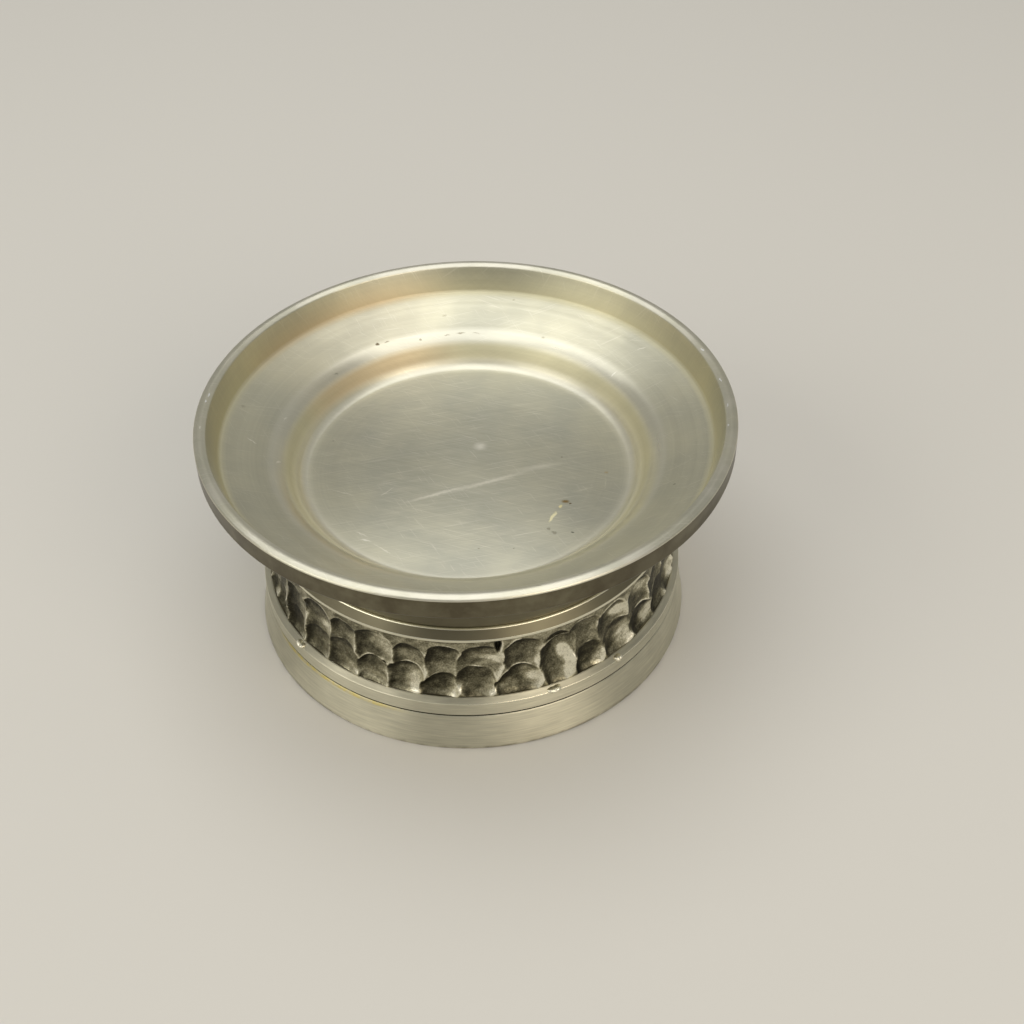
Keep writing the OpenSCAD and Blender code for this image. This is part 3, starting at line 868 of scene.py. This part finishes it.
# The tone on the hidden back of the rings
BACK_WORN = 0.3
# Height over which the rows end under the shoulder
TOP_FADE = 0.3
# The lower ends: how high they start, how much is filled, and where they stop in front of the face
END_HEIGHT = 1.1
END_FILL = 0.5
END_PROUD = 0.5
END_BACK = 0.65

Scoop = namedtuple("Scoop", "azimuth half top reach depth deep_u deep_v lean lift shine")


def all_scoops(rng):
    """The scoops in the order of pressing, in degrees and millimetres, but deep_u and deep_v in shares."""
    found = []
    for front, (reach, top, depths) in ((UPPER_SCOOPS, UPPER_ROW), (LOWER_SCOOPS, LOWER_ROW)):
        row = [scoop + (FRONT_HIGHLIGHT,) for scoop in front]
        left = ROW_SCOOPS - len(front)
        last = front[-1][0]
        step = (front[0][0] + 360 - last) / (left + 1)
        for i in range(left):
            place = last + step * (i + 1) + rng.uniform(*BACK_SHIFTS)
            row.append((place, rng.uniform(*BACK_WIDTHS), top + rng.uniform(*BACK_TOPS),
                        rng.uniform(*BACK_HIGHLIGHTS)))
        found += [(scoop, reach, depths) for scoop in row]
    found.append((TALL_SCOOP + (FRONT_HIGHLIGHT,), TALL_REACH, TALL_DEPTHS))
    return [Scoop(azimuth, width * ARC_MM / 2, top, reach, rng.uniform(*depths), rng.uniform(*DEEP_ACROSS),
                  rng.uniform(*DEEP_UP), rng.uniform(*LEANS), rng.uniform(*LIFTS), shine)
            for (azimuth, width, top, shine), reach, depths in found]


def smooth_grid(grid, passes):
    """Evens a grid that closes on itself from the last column to the first."""
    for _ in range(passes):
        grid = (np.roll(grid, 1, 1) + 2 * grid + np.roll(grid, -1, 1)) / 4
        padded = np.vstack([grid[:1], grid, grid[-1:]])
        grid = (padded[:-2] + 2 * padded[1:-1] + padded[2:]) / 4
    return grid


def soft_noise(rng, shape, passes):
    """Random unevenness of about 1 in size, coarser with more passes."""
    noise = smooth_grid(rng.normal(size=shape), passes)
    return noise / noise.std()


def degrees_from(azimuth, columns):
    """How far each column is from an azimuth, from -180 to 180 degrees."""
    return (columns - azimuth + 180) % 360 - 180


def press_scoop(scoop, base, face, polish, columns, heights, wobble):
    """Presses one scoop into the face; its walls start from the face as the scoops before left it."""
    middle = scoop.top - scoop.half
    across = degrees_from(scoop.azimuth, columns) * ARC_MM - scoop.lean * (heights - middle)
    u = across / scoop.half * (1 + UNEVEN_ACROSS * wobble)
    v = np.where(heights > middle, (heights - middle) / scoop.half, (heights - middle) / scoop.reach)
    v = v * (1 + UNEVEN_UP * np.roll(wobble, UNEVEN_OFFSET, axis=1))
    # From 0 at the deepest place, up and to the left, to 1 on the outline
    du, dv = u - scoop.deep_u, v - scoop.deep_v
    slant = scoop.deep_u * du + scoop.deep_v * dv
    room = 1 - scoop.deep_u ** 2 - scoop.deep_v ** 2
    far = np.clip((slant + np.sqrt(slant ** 2 + (du ** 2 + dv ** 2) * room)) / room, 0, 3)
    near_rim = np.minimum(far, 1)
    rim = 0.5 * near_rim ** BOWL_POWER + 0.5 * near_rim ** WALL_POWER
    inside = far < 1
    pressed = base - scoop.depth + (face + scoop.lift - base + scoop.depth) * rim
    face = np.where(inside, pressed, face)
    # A painted highlight low on the right of each scoop goes into the polish
    spread = (u - HIGHLIGHT_U) ** 2 / HIGHLIGHT_SPREAD_U + (v - HIGHLIGHT_V) ** 2 / HIGHLIGHT_SPREAD_V
    painted_highlight = scoop.shine * np.exp(-spread)
    polish = np.where(inside, painted_highlight + polish * rim ** 2, polish)
    broken = np.clip(EDGE_BROKEN[0] + EDGE_BROKEN[1] * wobble, 0, 1)
    arch = np.where(v > 0, np.clip(EDGE_BY_SIDE[0] - EDGE_BY_SIDE[1] * u, EDGE_LEAST, 1), EDGE_BELOW)
    edge = broken * arch * np.exp(-((far - 1) * scoop.half / EDGE_WIDTH) ** 2)
    return face + EDGE_HEIGHT * edge, polish + EDGE_POLISH * edge ** 1.5


def painted_light_rubbed_and_pitted(face, polish, columns, heights):
    """Adds the rubbed places and painted highlights, and the dark places of patina and painted shade, to
    the polish, and sinks the casting pits.
    """
    for azimuth, height, wide, high, turned_by, strength in RUBBED_AND_PAINTED_LIGHT:
        across = degrees_from(azimuth, columns) * ARC_MM
        up = heights - height
        c, s = math.cos(math.radians(turned_by)), math.sin(math.radians(turned_by))
        away = ((across * c + up * s) / (wide * ARC_MM)) ** 2 + ((up * c - across * s) / high) ** 2
        polish = polish + strength * np.exp(-RUBBED_AND_PAINTED_LIGHT_FALL * away ** 2)
    for azimuth, height, wide, high, widening, bend, depth in PITS:
        across = degrees_from(azimuth, columns)
        up = (heights - height + bend * across ** 2) / high
        away = (across / (wide * np.clip(1 + widening * up, 0.3, 2))) ** 2 + up ** 2
        face = face - depth * np.exp(-away ** 2)
        polish = polish - PIT_PATINA_AND_SHADE * np.exp(-away ** 2)
    return face, polish


def pressed_frieze():
    """The frieze's radius in millimetres and its tone of wear and painted shade, on a grid of heights and
    azimuths.
    """
    rng = np.random.default_rng(38)
    azimuths = np.arange(FRIEZE_COLUMNS) * 360 / FRIEZE_COLUMNS
    rows = np.linspace(FRIEZE_BOTTOM_Z, FRIEZE_TOP_Z, FRIEZE_ROWS)
    columns, heights = np.meshgrid(azimuths, rows)
    fall = (FRIEZE_TOP_Z - heights) / (FRIEZE_TOP_Z - FRIEZE_BOTTOM_Z)
    base = UPPER_ROW_R + (LOWER_ROW_R - UPPER_ROW_R) * fall
    face, polish = base.copy(), np.zeros_like(base)
    wobble = soft_noise(rng, face.shape, OUTLINE_PASSES)
    for scoop in all_scoops(rng):
        face, polish = press_scoop(scoop, base, face, polish, columns, heights, wobble)
    face = smooth_grid(face, 1)
    for passes, size in FACE_UNEVEN:
        face = face + size * soft_noise(rng, face.shape, passes)
    face, polish = painted_light_rubbed_and_pitted(face, polish, columns, heights)
    face = base + (face - base) * np.clip((FRIEZE_TOP_Z - heights) / TOP_FADE, 0, 1)
    climb = np.gradient(face, rows, axis=0)
    column_width = TURN * FRIEZE_MEAN_R / FRIEZE_COLUMNS
    turn = (np.roll(face, -1, 1) - np.roll(face, 1, 1)) / (2 * column_width)
    length = np.sqrt(1 + climb ** 2 + turn ** 2)
    relief = face - smooth_grid(face, RELIEF_PASSES)
    sunk = np.clip(base - face, 0, DEEPEST)
    # Painted shading: darker where the face looks down, lighter where it looks up or round towards lower
    # azimuths
    wear_and_shade = PLAIN_TONE - PAINTED_SHADING_TONE * climb / length + PAINTED_SHADING_TONE * turn / length
    wear_and_shade = wear_and_shade + RELIEF_TONE * relief - DEPTH_TONE * sunk + POLISH_AND_HIGHLIGHT_TONE * polish
    for passes, size in TONE_UNEVEN:
        wear_and_shade = wear_and_shade + size * soft_noise(rng, face.shape, passes)
    # Painted shade: darker low down, in the corner against the band
    corner = np.exp(-((heights - FRIEZE_BOTTOM_Z) / CORNER_SHADE_HEIGHT) ** 2)
    wear_and_shade = wear_and_shade - CORNER_SHADE_TONE * corner + FACE_TONE * np.clip(1 - FACE_FALL * sunk, 0, 1)
    # The lowest edge comes forward to the band in a hollow, and stays a little behind it
    near = np.clip((FRIEZE_BOTTOM_Z + END_HEIGHT - heights) / END_HEIGHT, 0, 1)
    face = base + (face - base) * (1 - END_FILL * near ** 2)
    face = np.minimum(face, base + END_PROUD - END_BACK * near)
    return face, np.clip(wear_and_shade, DARKEST_TONE, 1), rows


face_mm, wear_and_shade_grid, frieze_heights = pressed_frieze()


def scooped_row(name, first, last):
    """One row of scoops: a plain ring turned up to the drum's wall, then pressed to the relief."""
    heights = frieze_heights[first:last]
    outline = [(LOWER_ROW_R, z, 0) for z in heights]
    outline += [(FRIEZE_BACK_R, heights[-1], 0), (FRIEZE_BACK_R, heights[0], 0)]
    obj = turned(name, outline, FRIEZE_COLUMNS)
    points = np.empty(len(obj.data.vertices) * 3)
    obj.data.vertices.foreach_get("co", points)
    points = points.reshape(-1, 3) / MM
    flat = np.hypot(points[:, 0], points[:, 1])
    outer = flat > (FRIEZE_BACK_R + LOWER_ROW_R) / 2
    column = np.rint(np.arctan2(points[:, 1], points[:, 0]) / TURN * FRIEZE_COLUMNS).astype(int)
    column = column % FRIEZE_COLUMNS
    step = (FRIEZE_TOP_Z - FRIEZE_BOTTOM_Z) / (FRIEZE_ROWS - 1)
    row = np.rint((points[:, 2] - FRIEZE_BOTTOM_Z) / step).astype(int)
    points[:, :2] *= np.where(outer, face_mm[row, column] / flat, 1)[:, None]
    obj.data.vertices.foreach_set("co", (points * MM).ravel())
    wear_and_shade = np.where(outer, wear_and_shade_grid[row, column], BACK_WORN).astype(np.float32)
    obj.data.attributes.new("wear_and_shade", "FLOAT", "POINT").data.foreach_set("value", wear_and_shade)
    obj.data.update()
    take_up(obj)
    bpy.ops.object.shade_smooth_by_angle(angle=math.radians(SOFT_ANGLE))
    obj.data.materials.append(cast)
    mount(obj, "cast_pewter", "frieze_ring")


MIDDLE_ROW = FRIEZE_ROWS // 2
scooped_row("lower_scoops", 0, MIDDLE_ROW + 1)
scooped_row("upper_scoops", MIDDLE_ROW, FRIEZE_ROWS)

# Drips of the casting over the band's upper edge: azimuth, height, half width, half height and turn
DRIPS = [
    (-70.3, 12.75, 1.6, 0.62, 8), (-69.6, 12.9, 1.1, 0.6, -10),
    (-50.6, 12.8, 0.8, 0.68, 25), (-50.0, 13.0, 0.7, 0.45, -10),
    (-143.2, 12.9, 1.2, 0.45, 20), (-142.4, 13.0, 0.7, 0.4, -5),
    (64.0, 12.9, 1.0, 0.5, 12), (141.0, 13.0, 0.9, 0.45, -10),
]
DRIP_R = 47.1
DRIP_THICK = 0.95
DRIP_SEGMENTS = 28
DRIP_RINGS = 14


def add_drip():
    bpy.ops.mesh.primitive_uv_sphere_add(
        segments=DRIP_SEGMENTS, ring_count=DRIP_RINGS, radius=DRIP_THICK * MM)


bpy.ops.object.select_all(action="DESELECT")
add_drip()
drips = bpy.context.object
drips.name = drips.data.name = "casting_drips"
bpy.ops.object.mode_set(mode="EDIT")
bpy.ops.mesh.select_all(action="SELECT")
for number, (azimuth, height, half_width, half_height, turned_by) in enumerate(DRIPS):
    if number:
        deselect()
        add_drip()
    size = (1, half_width / DRIP_THICK, half_height / DRIP_THICK)
    bpy.ops.transform.resize(value=size, center_override=(0, 0, 0))
    bpy.ops.transform.rotate(value=math.radians(turned_by), orient_axis="X", center_override=(0, 0, 0))
    bpy.ops.transform.translate(value=(DRIP_R * MM, 0, height * MM))
    bpy.ops.transform.rotate(value=-math.radians(azimuth), orient_axis="Z", center_override=(0, 0, 0))
deselect()
bpy.ops.object.mode_set(mode="OBJECT")
smooth(drips, SOFT_ANGLE)
bare = np.ones(len(drips.data.vertices), np.float32)
drips.data.attributes.new("wear_and_shade", "FLOAT", "POINT").data.foreach_set("value", bare)
drips.data.materials.append(cast)
mount(drips, "cast_pewter", "frieze_ring")

# Solder fillets inside the drum: a width, a height and a hollow point between them
FILLET_HEIGHT = 1.3
NECK_FILLET_WIDTH = 0.33
NECK_HOLLOW = (0.12, 0.45)
FOOT_FILLET_WIDTH = 1.0
FOOT_HOLLOW = (0.35, 0.43)
NECK_FILLET = [
    (NECK_BORE_R - NECK_FILLET_WIDTH, SPIGOT_END_Z, 0),
    (NECK_BORE_R - NECK_HOLLOW[0], SPIGOT_END_Z - NECK_HOLLOW[1], 0),
    (NECK_BORE_R, SPIGOT_END_Z - FILLET_HEIGHT, 0),
    (NECK_BORE_R, SPIGOT_END_Z, 0),
]
FOOT_FILLET = [
    (LOW_BORE_R - FOOT_FILLET_WIDTH, FOOT_SPIGOT_Z, 0),
    (LOW_BORE_R - FOOT_HOLLOW[0], FOOT_SPIGOT_Z + FOOT_HOLLOW[1], 0),
    (LOW_BORE_R, FOOT_SPIGOT_Z + FILLET_HEIGHT, 0),
    (LOW_BORE_R, FOOT_SPIGOT_Z, 0),
]
for name, outline, cad_node in (("neck_fillet", NECK_FILLET, "neck_solder"),
                                ("foot_fillet", FOOT_FILLET, "foot_solder")):
    fillet = turned(name, outline, FILLET_SEGMENTS)
    smooth(fillet, SOFT_ANGLE)
    fillet.data.materials.append(solder)
    mount(fillet, "solder", cad_node)

# Pale floor of painted board: matt, so it only holds the coaster's shadow
FLOOR_SIZE = 8.0
FLOOR_ROUGHNESS = 0.9
bpy.ops.object.select_all(action="DESELECT")
bpy.ops.mesh.primitive_plane_add(size=FLOOR_SIZE, location=(0, 0, 0))
floor = bpy.context.object
floor.name = floor.data.name = "pale_floor"
board = bpy.data.materials.new("painted_board")
board.use_nodes = True
board_inputs = board.node_tree.nodes["Principled BSDF"].inputs
board_inputs["Base Color"].default_value = srgb("#cbc9c3")
board_inputs["Roughness"].default_value = FLOOR_ROUGHNESS
floor.data.materials.append(board)

# Plain studio light
WORLD_STRENGTH = 0.6
world = bpy.data.worlds.new("studio")
world.use_nodes = True
world_inputs = world.node_tree.nodes["Background"].inputs
world_inputs["Color"].default_value = srgb("#d8d6d0")
world_inputs["Strength"].default_value = WORLD_STRENGTH
bpy.context.scene.world = world


def softbox(name, place, aim, width, depth, watts, code):
    """A rectangular softbox at a place in metres, turned towards a point."""
    data = bpy.data.lights.new(name, "AREA")
    data.shape = "RECTANGLE"
    data.size = width
    data.size_y = depth
    data.energy = watts
    data.color = srgb(code)[:3]
    lamp = bpy.data.objects.new(name, data)
    bpy.context.collection.objects.link(lamp)
    lamp.location = place
    lamp.rotation_mode = "QUATERNION"
    lamp.rotation_quaternion = (Vector(aim) - Vector(place)).to_track_quat("-Z", "Y")


softbox("top_softbox", (-0.06, 0.12, 1.0), (0, 0, 0.04),
        width=0.92, depth=1.18, watts=4.8, code="#ffffff")
softbox("right_softbox", (0.53, -0.78, 0.66), (0, 0, 0.03),
        width=0.75, depth=0.65, watts=4.2, code="#fff2e0")
softbox("left_softbox", (-0.84, -0.46, 0.66), (0, 0, 0.03),
        width=0.85, depth=0.65, watts=3.9, code="#fffaf0")

# Camera at the photograph's viewing angle: degrees, metres and pixels
CAMERA_RISE = 41.20
CAMERA_AWAY = 0.3283
CAMERA_ROLL = -2.38
CAMERA_YAW = 1.62
CAMERA_PITCH = -0.89
CAMERA_AIM = Vector((0, 0, 0.030))
FOCAL_PIXELS = 1469.0
IMAGE_SIDE = 1024
SENSOR_MM = 36.0
CLIP_START = 0.01
CLIP_END = 50.0


def swung(a, b, degrees):
    """Two directions at right angles, turned in their plane."""
    c, s = math.cos(math.radians(degrees)), math.sin(math.radians(degrees))
    return c * a + s * b, c * b - s * a


rise = math.radians(CAMERA_RISE)
ahead = Vector((0, math.cos(rise), -math.sin(rise)))
right = Vector((1, 0, 0))
up = right.cross(ahead)
eye = CAMERA_AIM - ahead * CAMERA_AWAY
ahead, right = swung(ahead, right, CAMERA_YAW)
ahead, up = swung(ahead, up, CAMERA_PITCH)
right, up = swung(right, up, CAMERA_ROLL)
camera_data = bpy.data.cameras.new("camera")
camera_data.sensor_width = SENSOR_MM
camera_data.lens = FOCAL_PIXELS * camera_data.sensor_width / IMAGE_SIDE
camera_data.clip_start = CLIP_START
camera_data.clip_end = CLIP_END
camera = bpy.data.objects.new("camera", camera_data)
bpy.context.collection.objects.link(camera)
camera.matrix_world = Matrix((right, up, -ahead)).transposed().to_4x4()
camera.location = eye
bpy.context.scene.camera = camera

bpy.context.scene.view_settings.view_transform = "Standard"
